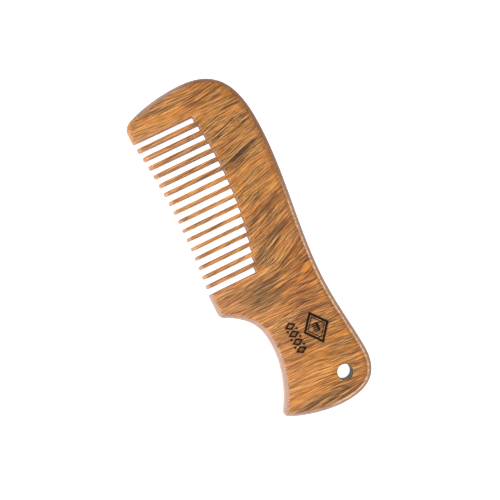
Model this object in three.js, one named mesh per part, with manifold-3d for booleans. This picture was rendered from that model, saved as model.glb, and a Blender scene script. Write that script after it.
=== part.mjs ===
// A one-piece wooden beard comb: a blank of sandalwood with sixteen sawn teeth, a finger
// notch and a hanging hole.
//
// Millimetres. The comb lies flat on its back face at Z = 0. X runs from the head to the
// handle end, Y from the tooth tips to the spine, and Z out of the front face.
// The origin is at the middle of the comb's length and width.
//
// The blank is extruded from its outline with rounded edges, then sawn and drilled, and
// last divided into named regions that meet face to face, so that every slot stays open.

import * as THREE from "three";
import { mergeVertices } from "three/addons/utils/BufferGeometryUtils.js";
import Module from "manifold-3d";

// ---- Driving dimensions --------------------------------------------------------------

const THICKNESS = 10;
const WIDTH = 48.2; // from the tip of the head guard to the crest of the spine
const EDGE_ROUND = 2.4; // radius sanded along the outline on both faces

// The tooth row.
const TOOTH_COUNT = 16;
const TOOTH_THICKNESS = 1.53;
const SLOT_WIDTH = 2.42;
const SLOT_DEPTH = 27.8; // deepest saw cut, from the tip of the head guard
const ROOT_ARC_RADIUS = 137; // the arc that the slot bottoms follow
const ROOT_ARC_PEAK = 24.5; // its highest point, from the start of the row
const TIP_LINE_RISE = 2.25; // hollow of the tooth tips between the two guards

// The thick ends of the row.
const HEAD_GUARD_WIDTH = 13;
const HEAD_GUARD_FLAT = 6; // the flat end of the head guard, before its cut corner
const HEAD_CORNER_ALONG = 2; // the corner is cut by this much in X
const HEAD_CORNER_UP = 1.75; // and by this much in Y
const HEAD_END_DROP = 21.9; // the head's furthest point, below the crest of the spine
const HEEL_WIDTH = 9.65;
const HEEL_SET_BACK = 0.93; // the heel stops this much short of the head guard

// The handle.
const GRIP_LENGTH = 51.1; // from the heel to the handle end
const NOTCH_DEPTH = 14.8; // of the finger notch, from the tip of the head guard
const NOTCH_PEAK = 21; // its deepest point, from the heel's corner
const TOE_ALONG = 5.8; // the toe's corner, from the handle end
const TOE_UP = 6.75; // and from the tip of the head guard
const HANDLE_END_DROP = 18.9; // the handle's furthest point, below the crest of the spine

// The spine's three turning points.
const CREST_ALONG = 32.7; // the crest, from the head end
const DIP_ALONG = 1.4; // the hollow, from the heel's corner
const DIP_DROP = 3.98; // below the crest
const PALM_ALONG = 14.3; // the second crest, from the handle end
const PALM_DROP = 0.83; // below the crest

// Headings of the outline, in degrees from +X.
const TO_HANDLE = 0;
const TO_SPINE = 90;
const TO_HEAD = 180;
const TO_TIPS = 270;
const HEEL_HEADING = 66; // leaving the heel's corner
const TOE_HEADING_IN = -32;
const TOE_HEADING_OUT = 55;
const HEAD_CORNER_HEADING = 296;

// The hanging hole.
const HANG_HOLE_DIAMETER = 6.2;
const HANG_HOLE_ALONG = 10.9; // its centre, from the handle end
const HANG_HOLE_DROP = 12.4; // and below the crest of the spine

// Wood kept between the hole's rim and the plane where the handle end starts.
const HANG_END_MARGIN = 3.4;

// How far below its nearer slot bottom each tooth is taken to start.
const ROOT_STEP = 0.4;

// How finely curves are drawn.
const POINTS_PER_CURVE = 18;
const SHARPEST_CURVE = 20; // a turn of more degrees than this is a corner, not a curve
const ROUND_STEPS = 5;
const HOLE_SIDES = 48;

// ---- Places worked out from them -----------------------------------------------------

const TOOTH_PITCH = TOOTH_THICKNESS + SLOT_WIDTH;
const ROW_LENGTH = TOOTH_COUNT * TOOTH_PITCH + SLOT_WIDTH;
const LENGTH = HEAD_GUARD_WIDTH + ROW_LENGTH + HEEL_WIDTH + GRIP_LENGTH;

const HEAD_END_X = -LENGTH / 2;
const ROW_START_X = HEAD_END_X + HEAD_GUARD_WIDTH;
const ROW_END_X = ROW_START_X + ROW_LENGTH;
const HEEL_CORNER_X = ROW_END_X + HEEL_WIDTH;
const HANDLE_END_X = LENGTH / 2;

const TIP_Y = -WIDTH / 2;
const CREST_Y = WIDTH / 2;
const HEEL_TIP_Y = TIP_Y + HEEL_SET_BACK;
const ROOT_PEAK = new THREE.Vector2(ROW_START_X + ROOT_ARC_PEAK, TIP_Y + SLOT_DEPTH);

const HANG_HOLE = new THREE.Vector2(HANDLE_END_X - HANG_HOLE_ALONG, CREST_Y - HANG_HOLE_DROP);
const HANG_END_X = HANG_HOLE.x - HANG_HOLE_DIAMETER / 2 - HANG_END_MARGIN;

// Colours of the wood by region, and its polish.
const GOLDEN_WOOD = 0xbb8550;
const BROWN_WOOD = 0xb47f4c;
const TOOTH_WOOD = 0xb97c4a;
const WOOD_ROUGHNESS = 0.5;

const CLEAR = 1; // every cutter runs this far past the wood
const CORNER_CLEARANCE = 1.3; // room beside a corner, as a share of how far it moves

// ---- Solids --------------------------------------------------------------------------

const wasm = await Module();
wasm.setup();

// A closed geometry as a solid that can be cut.
function solidFrom(geometry) {
  const bare = geometry.clone();
  bare.deleteAttribute("normal");
  bare.deleteAttribute("uv");
  const merged = mergeVertices(bare);
  const mesh = new wasm.Mesh({
    numProp: 3,
    vertProperties: merged.attributes.position.array,
    triVerts: new Uint32Array(merged.index.array),
  });
  return new wasm.Manifold(mesh);
}

// A cut solid as a flat-shaded geometry again.
function geometryFrom(solid) {
  const mesh = solid.getMesh();
  const geometry = new THREE.BufferGeometry();
  geometry.setAttribute("position", new THREE.BufferAttribute(mesh.vertProperties, 3));
  geometry.setIndex(new THREE.BufferAttribute(mesh.triVerts, 1));
  const faceted = geometry.toNonIndexed();
  faceted.computeVertexNormals();
  return faceted;
}

// A block of space through the whole thickness, between two corners in plan.
function blockBetween(lowX, lowY, highX, highY) {
  const corners = [
    new THREE.Vector2(lowX, lowY),
    new THREE.Vector2(highX, lowY),
    new THREE.Vector2(highX, highY),
    new THREE.Vector2(lowX, highY),
  ];
  const height = THICKNESS + 2 * CLEAR;
  const block = new THREE.ExtrudeGeometry(new THREE.Shape(corners), {
    depth: height,
    bevelEnabled: false,
  });
  block.translate(0, 0, -CLEAR);
  return solidFrom(block);
}

// ---- The outline ---------------------------------------------------------------------

// One smooth stretch of outline to a point. It leaves along one heading and arrives along
// another. Each pull is how long it holds its heading, as a share of the straight distance
// between the two points.
function sweepTo(outline, x, y, { leaves, leavingPull, arrives, arrivingPull }) {
  const from = outline.currentPoint.clone();
  const to = new THREE.Vector2(x, y);
  const distance = from.distanceTo(to);
  const along = (degrees) => {
    const angle = THREE.MathUtils.degToRad(degrees);
    return new THREE.Vector2(Math.cos(angle), Math.sin(angle));
  };
  const first = from.clone().addScaledVector(along(leaves), distance * leavingPull);
  const second = to.clone().addScaledVector(along(arrives), -distance * arrivingPull);
  outline.bezierCurveTo(first.x, first.y, second.x, second.y, to.x, to.y);
}

// From the head guard's inner corner: the tooth tips, slightly hollow between the two
// guards, and the flat end of the heel.
function drawTipLine(outline) {
  const middleX = (ROW_START_X + ROW_END_X) / 2;
  const middleY = (TIP_Y + HEEL_TIP_Y) / 2;
  outline.moveTo(ROW_START_X, TIP_Y);
  outline.quadraticCurveTo(middleX, middleY + 2 * TIP_LINE_RISE, ROW_END_X, HEEL_TIP_Y);
  outline.lineTo(HEEL_CORNER_X, HEEL_TIP_Y);
}

// The finger notch, from the heel's corner to the toe, and the handle end past it.
function drawHandle(outline) {
  const notchX = HEEL_CORNER_X + NOTCH_PEAK;
  sweepTo(outline, notchX, TIP_Y + NOTCH_DEPTH, {
    leaves: HEEL_HEADING,
    leavingPull: 0.57,
    arrives: TO_HANDLE,
    arrivingPull: 0.32,
  });
  sweepTo(outline, HANDLE_END_X - TOE_ALONG, TIP_Y + TOE_UP, {
    leaves: TO_HANDLE,
    leavingPull: 0.32,
    arrives: TOE_HEADING_IN,
    arrivingPull: 0.33,
  });
  sweepTo(outline, HANDLE_END_X, CREST_Y - HANDLE_END_DROP, {
    leaves: TOE_HEADING_OUT,
    leavingPull: 0.22,
    arrives: TO_SPINE,
    arrivingPull: 0.32,
  });
}

// Over the palm crest, down into the hollow, up to the main crest and round to the head.
function drawSpine(outline) {
  sweepTo(outline, HANDLE_END_X - PALM_ALONG, CREST_Y - PALM_DROP, {
    leaves: TO_SPINE,
    leavingPull: 0.36,
    arrives: TO_HEAD,
    arrivingPull: 0.54,
  });
  sweepTo(outline, HEEL_CORNER_X + DIP_ALONG, CREST_Y - DIP_DROP, {
    leaves: TO_HEAD,
    leavingPull: 0.2,
    arrives: TO_HEAD,
    arrivingPull: 0.37,
  });
  sweepTo(outline, HEAD_END_X + CREST_ALONG, CREST_Y, {
    leaves: TO_HEAD,
    leavingPull: 0.35,
    arrives: TO_HEAD,
    arrivingPull: 0.33,
  });
  sweepTo(outline, HEAD_END_X, CREST_Y - HEAD_END_DROP, {
    leaves: TO_HEAD,
    leavingPull: 0.49,
    arrives: TO_TIPS,
    arrivingPull: 0.48,
  });
}

// Down the side of the head to the head guard's cut corner.
function drawHeadSide(outline) {
  const cornerX = ROW_START_X - HEAD_GUARD_FLAT;
  sweepTo(outline, cornerX - HEAD_CORNER_ALONG, TIP_Y + HEAD_CORNER_UP, {
    leaves: TO_TIPS,
    leavingPull: 0.29,
    arrives: HEAD_CORNER_HEADING,
    arrivingPull: 0.31,
  });
  outline.lineTo(cornerX, TIP_Y);
}

// The comb seen from the front, drawn anticlockwise.
function combOutline() {
  const outline = new THREE.Shape();
  drawTipLine(outline);
  drawHandle(outline);
  drawSpine(outline);
  drawHeadSide(outline);
  return outline;
}

// How far the outline turns at one of its points, in radians.
function turnAt(points, index) {
  const count = points.length;
  const before = points[(index + count - 1) % count];
  const after = points[(index + 1) % count];
  const arriving = points[index].clone().sub(before);
  const leaving = after.clone().sub(points[index]);
  return Math.abs(Math.atan2(arriving.cross(leaving), arriving.dot(leaving)));
}

// The outline's points, ready to have its edges rounded. Rounding moves a corner along
// both of its sides, so a curve's points that are nearer to the corner are left out.
function pointsToRound(outline) {
  const points = outline.extractPoints(POINTS_PER_CURVE).shape;
  const sharpest = THREE.MathUtils.degToRad(SHARPEST_CURVE);
  const corners = points
    .map((point, index) => ({ point, turn: turnAt(points, index) }))
    .filter(({ turn }) => turn > sharpest);
  const staysClear = (point) =>
    corners.every((corner) => {
      const reach = EDGE_ROUND * Math.tan(corner.turn / 2) * CORNER_CLEARANCE;
      const distance = point.distanceTo(corner.point);
      return distance === 0 || distance > reach;
    });
  return points.filter(staysClear);
}

// ---- The blank, and what is cut from it ----------------------------------------------

function roundedBlank() {
  const blank = new THREE.ExtrudeGeometry(new THREE.Shape(pointsToRound(combOutline())), {
    depth: THICKNESS - 2 * EDGE_ROUND,
    bevelEnabled: true,
    bevelThickness: EDGE_ROUND,
    bevelSize: EDGE_ROUND,
    bevelOffset: -EDGE_ROUND,
    bevelSegments: ROUND_STEPS,
  });
  blank.translate(0, 0, EDGE_ROUND);
  return solidFrom(blank);
}

// Where a slot starts along the row. Slot 0 is beside the head guard.
function slotStartX(slot) {
  return ROW_START_X + slot * TOOTH_PITCH;
}

// The flat bottom of a slot lies on the root arc at the slot's middle.
function slotBottomY(slot) {
  const offset = slotStartX(slot) + SLOT_WIDTH / 2 - ROOT_PEAK.x;
  const arcHeight = Math.sqrt(ROOT_ARC_RADIUS ** 2 - offset ** 2);
  return ROOT_PEAK.y - ROOT_ARC_RADIUS + arcHeight;
}

// The first and last saw cuts run on into the guards' side of the row, which is cut off
// the blank before it is sawn.
function sawCut(slot) {
  const start = slotStartX(slot) - (slot === 0 ? CLEAR : 0);
  const end = slotStartX(slot) + SLOT_WIDTH + (slot === TOOTH_COUNT ? CLEAR : 0);
  return blockBetween(start, TIP_Y - CLEAR, end, slotBottomY(slot));
}

function hangHole() {
  const radius = HANG_HOLE_DIAMETER / 2;
  const height = THICKNESS + 2 * CLEAR;
  const drill = new THREE.CylinderGeometry(radius, radius, height, HOLE_SIDES);
  drill.rotateX(Math.PI / 2);
  drill.translate(HANG_HOLE.x, HANG_HOLE.y, THICKNESS / 2);
  return solidFrom(drill);
}

// ---- The named regions ---------------------------------------------------------------

// Everything between two stations along the comb.
function bandBetween(lowX, highX) {
  return blockBetween(lowX, TIP_Y - CLEAR, highX, CREST_Y + CLEAR);
}

// A tooth starts just below the nearer of its two slot bottoms, on one flat plane. Its
// share of space runs from the middle of one slot to the middle of the next.
function toothCell(tooth) {
  const rootY = Math.min(slotBottomY(tooth - 1), slotBottomY(tooth)) - ROOT_STEP;
  const start = slotStartX(tooth - 1) + SLOT_WIDTH / 2;
  return blockBetween(start, TIP_Y - CLEAR, start + TOOTH_PITCH, rootY);
}

function sawnRow(blank) {
  let row = blank.intersect(bandBetween(ROW_START_X, ROW_END_X));
  for (let slot = 0; slot <= TOOTH_COUNT; slot += 1) {
    row = row.subtract(sawCut(slot));
  }
  return row;
}

function addRegion(comb, name, solid, colour) {
  const finish = new THREE.MeshStandardMaterial({
    color: colour,
    roughness: WOOD_ROUGHNESS,
    metalness: 0,
  });
  const region = new THREE.Mesh(geometryFrom(solid), finish);
  region.name = name;
  comb.add(region);
}

function addEnds(comb, blank) {
  const head = bandBetween(HEAD_END_X - CLEAR, ROW_START_X);
  const heel = bandBetween(ROW_END_X, HEEL_CORNER_X);
  const grip = bandBetween(HEEL_CORNER_X, HANG_END_X);
  const hangEnd = bandBetween(HANG_END_X, HANDLE_END_X + CLEAR);
  addRegion(comb, "head", blank.intersect(head), GOLDEN_WOOD);
  addRegion(comb, "heel", blank.intersect(heel), GOLDEN_WOOD);
  addRegion(comb, "grip", blank.intersect(grip), BROWN_WOOD);
  addRegion(comb, "hang_end", blank.intersect(hangEnd), GOLDEN_WOOD);
}

function addRow(comb, blank) {
  const row = sawnRow(blank);
  let back = row;
  for (let tooth = 1; tooth <= TOOTH_COUNT; tooth += 1) {
    const name = "tooth_" + String(tooth).padStart(2, "0");
    const cell = toothCell(tooth);
    addRegion(comb, name, row.intersect(cell), TOOTH_WOOD);
    back = back.subtract(cell);
  }
  addRegion(comb, "back", back, BROWN_WOOD);
}

function beardComb() {
  const comb = new THREE.Group();
  const blank = roundedBlank().subtract(hangHole());
  addEnds(comb, blank);
  addRow(comb, blank);
  return comb;
}

export default beardComb();
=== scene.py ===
# %% [markdown]
# # A wooden beard comb
# The real comb is a single board of sandalwood. Its outline is sawn and sanded round, the
# slots between the teeth are sawn in, and a hole is drilled to hang it by. In this lesson
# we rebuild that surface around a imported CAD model. The CAD model says where every part of
# the comb is, so the first step is to load it and never move it.

# %% Load the frame
import math

import bpy
import numpy as np
from mathutils import Matrix, Vector
from mathutils.geometry import delaunay_2d_cdt


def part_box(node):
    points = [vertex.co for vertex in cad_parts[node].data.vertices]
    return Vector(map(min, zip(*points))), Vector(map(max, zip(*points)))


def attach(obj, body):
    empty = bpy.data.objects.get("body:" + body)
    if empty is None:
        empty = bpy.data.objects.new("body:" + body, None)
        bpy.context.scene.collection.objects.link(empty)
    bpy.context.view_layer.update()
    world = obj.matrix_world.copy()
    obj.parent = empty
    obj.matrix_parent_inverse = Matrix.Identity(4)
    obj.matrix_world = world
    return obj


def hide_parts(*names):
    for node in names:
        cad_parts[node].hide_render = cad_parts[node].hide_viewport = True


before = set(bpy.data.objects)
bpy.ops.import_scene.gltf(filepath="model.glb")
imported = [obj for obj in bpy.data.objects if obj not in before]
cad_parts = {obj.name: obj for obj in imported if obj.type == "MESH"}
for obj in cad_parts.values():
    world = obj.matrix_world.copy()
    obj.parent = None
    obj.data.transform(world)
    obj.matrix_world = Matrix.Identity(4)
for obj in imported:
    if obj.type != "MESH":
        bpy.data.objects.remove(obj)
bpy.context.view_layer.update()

MM = 0.001
print("CAD nodes:", len(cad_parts))

# %% [markdown]
# ## Where things are
# Blender works in metres, but a comb maker thinks in millimetres, so plan shapes are drawn
# in millimetres and only the finished mesh is scaled. X runs from the head to the handle
# end, Y from the tooth tips to the spine and Z out of the front face. Each CAD node's box
# gives the saw cuts for free: a slot is simply the gap between two neighbouring teeth.

# %% Read the CAD nodes
TEETH = sorted(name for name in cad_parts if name.startswith("tooth_"))
ROW = ["head", *TEETH, "heel"]


def box_mm(name):
    low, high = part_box(name)
    return np.array(low) / MM, np.array(high) / MM


def node_points(name):
    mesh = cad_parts[name].data
    flat = np.empty(len(mesh.vertices) * 3)
    mesh.vertices.foreach_get("co", flat)
    return flat.reshape(-1, 3) / MM


BOX = {name: box_mm(name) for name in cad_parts}
LOW = np.min([low for low, high in BOX.values()], axis=0)
HIGH = np.max([high for low, high in BOX.values()], axis=0)
THICKNESS = HIGH[2] - LOW[2]
print(len(TEETH), "teeth; the comb is", np.round(HIGH - LOW, 1), "mm")

# %% [markdown]
# ## Camera, floor and light
# The comb lies on a white table and the camera looks down from the tooth side, a little
# past the head, so that the walls facing the camera just show. The camera is aimed, and
# not shifted. We build its matrix from three directions: where it looks, which way is up
# in the picture, and the direction at right angles to both.

# %% Camera
PICTURE_TURN = math.radians(25.94)  # the spine points right, raised by this much
CAMERA_HEIGHT = 530 * MM  # above the front face
CAMERA_FOOT = Vector((-12, -38, 0)) * MM  # the place on the comb straight below the camera
AIM = Vector((-0.17, -1.03, THICKNESS)) * MM
VIEW_WIDTH = 194 * MM  # how much of the table the picture spans


def make_camera():
    eye = Vector((CAMERA_FOOT.x, CAMERA_FOOT.y, AIM.z + CAMERA_HEIGHT))
    forward = (AIM - eye).normalized()
    up = Vector((-math.cos(PICTURE_TURN), math.sin(PICTURE_TURN), 0))
    right = forward.cross(up).normalized()
    up = right.cross(forward)
    data = bpy.data.cameras.new("camera")
    data.angle = 2 * math.atan(VIEW_WIDTH / 2 / (AIM - eye).length)
    data.clip_start = 0.01
    camera = bpy.data.objects.new("camera", data)
    turn = Matrix((right, up, -forward)).transposed().to_4x4()
    camera.matrix_world = Matrix.Translation(eye) @ turn
    bpy.context.collection.objects.link(camera)
    bpy.context.scene.camera = camera
    return camera


camera = make_camera()
print("camera sees", round(math.degrees(camera.data.angle), 1), "degrees")

# %% [markdown]
# ## The outline
# All edges of the real comb are rounded over with sandpaper, so its outline is widest half
# way up its thickness. In the CAD model the rounding starts at one height, and the points
# at that height are the outline. Seen from a hub in the handle no part of the outline
# hides another, so sorting the points by their angle round the hub puts them in order.

# %% Outline points from the CAD
NEAR = 0.002  # mm, as close as two numbers that mean the same place
SAME_POINT = 0.15  # mm, points nearer than this are one point
HUB = np.array([30.0, 5.0])


def rounding_starts_at():
    head = node_points("head")
    end = head[head[:, 0] < head[:, 0].min() + NEAR]
    return end[:, 2].min()


def outline_from_cad(level):
    every = np.vstack([node_points(name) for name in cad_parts])
    rim = every[np.abs(every[:, 2] - level) < NEAR][:, :2]
    rim = np.unique(np.round(rim, 3), axis=0)
    angle = np.arctan2(rim[:, 1] - HUB[1], rim[:, 0] - HUB[0])
    rim = rim[np.argsort(angle)]
    gap = np.hypot(*(rim - np.roll(rim, 1, axis=0)).T)
    return rim[gap > SAME_POINT]


EDGE_ROUND = rounding_starts_at() - LOW[2]
cad_outline = outline_from_cad(EDGE_ROUND + LOW[2])
print(len(cad_outline), "outline points, edges rounded by", round(EDGE_ROUND, 2), "mm")

# %% [markdown]
# The CAD outline is a polygon. To make it a true curve again, each point gets a tangent
# from its two neighbours, and a Hermite curve joins each pair. Points where the outline
# turns sharply are real corners and keep two tangents, and a long step is a straight
# stretch. Sandpaper takes the sharpness off the corners, so each gets a small curve.

# %% Smooth the outline
STRAIGHT = 4.0  # mm, a longer step than this is a straight stretch
CORNER_TURN = math.radians(15)
STEP = 0.55  # mm between points on the curve
# where each corner is, in mm, and how far from it the sandpaper reached
SANDED_CORNERS = {(-64.7, -22.4): 0.6, (-62.7, -24.1): 0.7, (18.6, -23.2): 1.2, (63.9, -17.4): 1.5}


def tangents(points):
    ahead = np.roll(points, -1, axis=0) - points
    length = np.hypot(*ahead.T)[:, None]
    ahead = ahead / length
    behind = np.roll(ahead, 1, axis=0)
    behind_length = np.roll(length, 1, axis=0)
    along = (behind * length + ahead * behind_length) / (length + behind_length)
    along = np.where(length > STRAIGHT, ahead, along)
    along = np.where(behind_length > STRAIGHT, behind, along)
    along = along / np.hypot(*along.T)[:, None]
    corner = (ahead * behind).sum(axis=1, keepdims=True) < math.cos(CORNER_TURN)
    return np.where(corner, behind, along), np.where(corner, ahead, along)


def hermite(start, leaving, end, arriving, count):
    t = np.linspace(0, 1, count, endpoint=False)[:, None]
    reach = np.hypot(*(end - start))
    rise = 3 * t**2 - 2 * t**3
    leave = (t**3 - 2 * t**2 + t) * reach
    arrive = (t**3 - t**2) * reach
    return start + rise * (end - start) + leave * leaving + arrive * arriving


def quadratic(start, pull, end, count=7):
    t = np.linspace(0, 1, count)[:, None]
    return (1 - t) ** 2 * start + 2 * t * (1 - t) * pull + t**2 * end


def soften(points, corner, reach):
    away = np.hypot(*(points - corner).T)
    start = int(away.argmax())
    points = np.roll(points, -start, axis=0)
    near = np.flatnonzero(np.roll(away, -start) < reach)
    before = points[: near[0]]
    after = points[near[-1] + 1 :]
    curve = quadratic(before[-1], corner, after[0])
    return np.vstack([before[:-1], curve, after[1:]])


def smooth_outline(points):
    arriving, leaving = tangents(points)
    curve = []
    for here in range(len(points)):
        there = (here + 1) % len(points)
        reach = np.hypot(*(points[there] - points[here]))
        count = max(1, round(reach / STEP))
        curve.append(hermite(points[here], leaving[here], points[there], arriving[there], count))
    curve = np.vstack(curve)
    for place, reach in SANDED_CORNERS.items():
        nearest = np.hypot(*(points - place).T).argmin()
        curve = soften(curve, points[nearest], reach)
    return curve


outline = smooth_outline(cad_outline)
print(len(outline), "points on the smooth outline")

# %% [markdown]
# ## The saw cuts
# A slot is the gap between two neighbours in the row. The saw leaves two straight walls
# and a flat bottom, and then sandpaper rounds the tooth tips and softens the corners of
# the bottom. Each slot is spliced into the outline, which gives the comb's true contour.

# %% Slots
TIP_ROUND = 0.55
ROOT_ROUND = 0.3
WALL_STEP = 2.0
ON_WALL = 0.02  # mm
TIP_LINE = LOW[1] + 3.6  # below this only the tooth tips are left

walls = [(BOX[a][1][0], BOX[b][0][0]) for a, b in zip(ROW, ROW[1:])]
beyond = 1.5
over_tips = (outline[:, 0] > walls[0][0] - beyond) & (outline[:, 0] < walls[-1][1] + beyond)
tip_side = outline[(outline[:, 1] < TIP_LINE) & over_tips]
tip_side = tip_side[np.argsort(tip_side[:, 0])]


def tip_at(x):
    return np.array([x, np.interp(x, tip_side[:, 0], tip_side[:, 1])])


def slot_bottom(left, right):
    back = node_points("back")
    on_wall = np.minimum(np.abs(back[:, 0] - left), np.abs(back[:, 0] - right)) < ON_WALL
    below = back[:, 1] < (LOW[1] + 2 * HIGH[1]) / 3
    return back[on_wall & below][:, 1].max()


def straight(start, end):
    count = max(2, round(np.hypot(*(end - start)) / WALL_STEP))
    return np.linspace(start, end, count + 1)[1:-1]


def slot_path(left, right):
    bottom = slot_bottom(left, right)
    up = np.array([0, 1.0])
    side = np.array([1.0, 0])
    left_tip = tip_at(left)
    right_tip = tip_at(right)
    left_root = np.array([left, bottom])
    right_root = np.array([right, bottom])
    wall_start = left_tip + up * TIP_ROUND
    wall_end = left_root - up * ROOT_ROUND
    back_start = right_root - up * ROOT_ROUND
    back_end = right_tip + up * TIP_ROUND
    return np.vstack([
        quadratic(tip_at(left - TIP_ROUND), left_tip, wall_start),
        straight(wall_start, wall_end),
        quadratic(wall_end, left_root, left_root + side * ROOT_ROUND, 5),
        quadratic(right_root - side * ROOT_ROUND, right_root, back_start, 5),
        straight(back_start, back_end),
        quadratic(back_end, right_tip, tip_at(right + TIP_ROUND)),
    ])


slots = [slot_path(left, right) for left, right in walls]
print(len(slots), "slots, each", round(walls[0][1] - walls[0][0], 2), "mm wide")

# %% [markdown]
# Splicing works like editing film. The outline's own points inside the mouth of a slot are
# cut out, the list is turned so that the cut is at its end, and the slot's path goes there.
# Sometimes no point of the outline happens to lie in the mouth, and then the cut is made
# just before the first point to the right of it.

# %% Splice the slots into the contour
def splice(points, path):
    left, right = path[0, 0], path[-1, 0]
    at_tips = points[:, 1] < TIP_LINE
    in_gap = at_tips & (points[:, 0] > left - 0.05) & (points[:, 0] < right + 0.05)
    after = np.flatnonzero(~in_gap & np.roll(in_gap, 1))
    if len(after) == 0:
        after = np.flatnonzero(at_tips & (points[:, 0] > right))
        after = after[points[after, 0].argmin()][None]
    points = np.roll(points, -after[0], axis=0)
    kept = points[~np.roll(in_gap, -after[0])]
    return np.vstack([kept, path])


contour = outline
for path in slots:
    contour = splice(contour, path)
print(len(contour), "points on the contour")

# %% [markdown]
# ## The hanging hole
# A drilled hole hangs the comb on a hook. In the CAD model the only points on the flat of
# the hanging end that lie far from the outline belong to the hole, so they give us its
# centre and its radius.

# %% Hole
HOLE_POINTS = 72
ROUND_OVER_MARGIN = 0.4  # mm, so that no point of the round-over is taken for the hole
PART_EDGE_MARGIN = 1  # mm, and none where the part meets its neighbour


def find_hole():
    points = node_points("hang_end")
    flat = points[points[:, 2] > HIGH[2] - NEAR][:, :2]
    away = np.array([np.hypot(*(outline - point).T).min() for point in flat])
    past_joint = flat[:, 0] > flat[:, 0].min() + PART_EDGE_MARGIN
    ring = flat[(away > EDGE_ROUND + ROUND_OVER_MARGIN) & past_joint]
    low, high = ring.min(axis=0), ring.max(axis=0)
    return (low + high) / 2, (high - low).mean() / 2


def circle(centre, radius, count):
    angle = -2 * np.pi * np.arange(count) / count
    return centre + radius * np.column_stack([np.cos(angle), np.sin(angle)])


hole_centre, hole_radius = find_hole()
hole = circle(hole_centre, hole_radius, HOLE_POINTS)
print("hole at", np.round(hole_centre, 2), "radius", round(hole_radius, 2), "mm")

# %% [markdown]
# ## How far is it to the edge?
# The whole surface follows from one question asked at every point: how far is the nearest
# edge? Two distances answer it, one to the sanded outline and one to the saw cuts and the
# hole, because sandpaper rounds the outline a lot and the cuts only a little. Each edge
# also says which way leads straight into the wood, which gives us smooth normals later.

# %% Distances to a path
TINY = 1e-9


def inward_normals(path, closed):
    if closed:
        here = np.roll(path, -1, axis=0) - path
        before = path - np.roll(path, 1, axis=0)
    else:
        here = np.diff(path, axis=0, append=path[-1:])
        before = np.diff(path, axis=0, prepend=path[:1])
    here_length = np.hypot(*here.T)[:, None] + TINY
    before_length = np.hypot(*before.T)[:, None] + TINY
    along = here / here_length + before / before_length
    along = along / (np.hypot(*along.T)[:, None] + TINY)
    return np.column_stack([-along[:, 1], along[:, 0]])


def nearest(points, path, closed, block=4000):
    """Distance from each point to the path, and the way from the path into the wood."""
    start = path if closed else path[:-1]
    end = np.roll(path, -1, axis=0) if closed else path[1:]
    normal = inward_normals(path, closed)
    next_normal = np.roll(normal, -1, axis=0)
    step = end - start
    square = (step**2).sum(axis=1) + TINY
    distances = []
    directions = []
    for first in range(0, len(points), block):
        some = points[first : first + block, None, :]
        part = (((some - start) * step).sum(axis=2) / square).clip(0, 1)
        gap = some - start - part[..., None] * step
        away = np.hypot(gap[..., 0], gap[..., 1])
        best = away.argmin(axis=1)
        row = np.arange(len(best))
        share = part[row, best][:, None]
        way = normal[best] * (1 - share) + next_normal[best] * share
        distances.append(away[row, best])
        directions.append(way / (np.hypot(*way.T)[:, None] + TINY))
    return np.concatenate(distances), np.vstack(directions)


def inside(points, polygon, block=4000):
    x1, y1 = polygon.T
    x2, y2 = np.roll(polygon, -1, axis=0).T
    answers = []
    for first in range(0, len(points), block):
        x, y = points[first : first + block].T[:, :, None]
        crosses = (y1 > y) != (y2 > y)
        at = x1 + (y - y1) * (x2 - x1) / np.where(y2 == y1, TINY, y2 - y1)
        answers.append((crosses & (x < at)).sum(axis=1) % 2 == 1)
    return np.concatenate(answers)


# %% [markdown]
# A ring is the outline moved into the wood by a fixed depth. Where the moved line folds
# over itself, at an outside corner, the folded points are closer to the edge than the
# depth says, so they are dropped. Rings at well chosen depths give the round-over even
# strips of faces, exactly as a bevel tool would.

# %% Rings
ROUND_STEPS = 9
CUT_EASE = 0.25
CUT_STEPS = 4
HOLE_EASE = 0.4
HOLE_STEPS = 5
BAND_DEPTH = 3.6  # mm, how far in from the edge the painted sheen and shade reach
FOLD_SLACK = 0.985  # a point that is nearer than this share of the depth has folded over
RING_STEP = 0.3  # mm between points on a ring


def ring_depths(radius, steps):
    angle = np.linspace(0, np.pi / 2, steps + 1)[1:]
    return radius * (1 - np.cos(angle))


def inset(path, depth, closed):
    moved = path + inward_normals(path, closed) * depth
    away, _ = nearest(moved, path, closed)
    kept = (away > depth * FOLD_SLACK) & inside(moved, outline)
    return moved[kept]


def thin_out(points, gap):
    kept = [points[0]]
    for point in points[1:]:
        if np.hypot(*(point - kept[-1])) > gap:
            kept.append(point)
    return np.array(kept)


rim_depths = [*ring_depths(EDGE_ROUND, ROUND_STEPS), BAND_DEPTH]
rings = [thin_out(inset(outline, depth, True), RING_STEP) for depth in rim_depths]
cut_depths = ring_depths(CUT_EASE, CUT_STEPS)
slot_rings = [inset(path, depth, False) for path in slots for depth in cut_depths]
hole_radii = hole_radius + ring_depths(HOLE_EASE, HOLE_STEPS)
hole_rings = [circle(hole_centre, radius, HOLE_POINTS) for radius in hole_radii]
print(len(rings), "rings round the outline,", len(slot_rings), "round the slots")

# %% [markdown]
# ## The burnt mark
# Combs like this carry a small mark that is burnt into the handle. Ours is a plain
# ornament: a lozenge frame with a little comb in it, over a row of hollow lozenges. Each
# line is a closed polygon, and a point is burnt where it lies inside an odd number of
# them, so a polygon inside another one cuts a window out of it.

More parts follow.
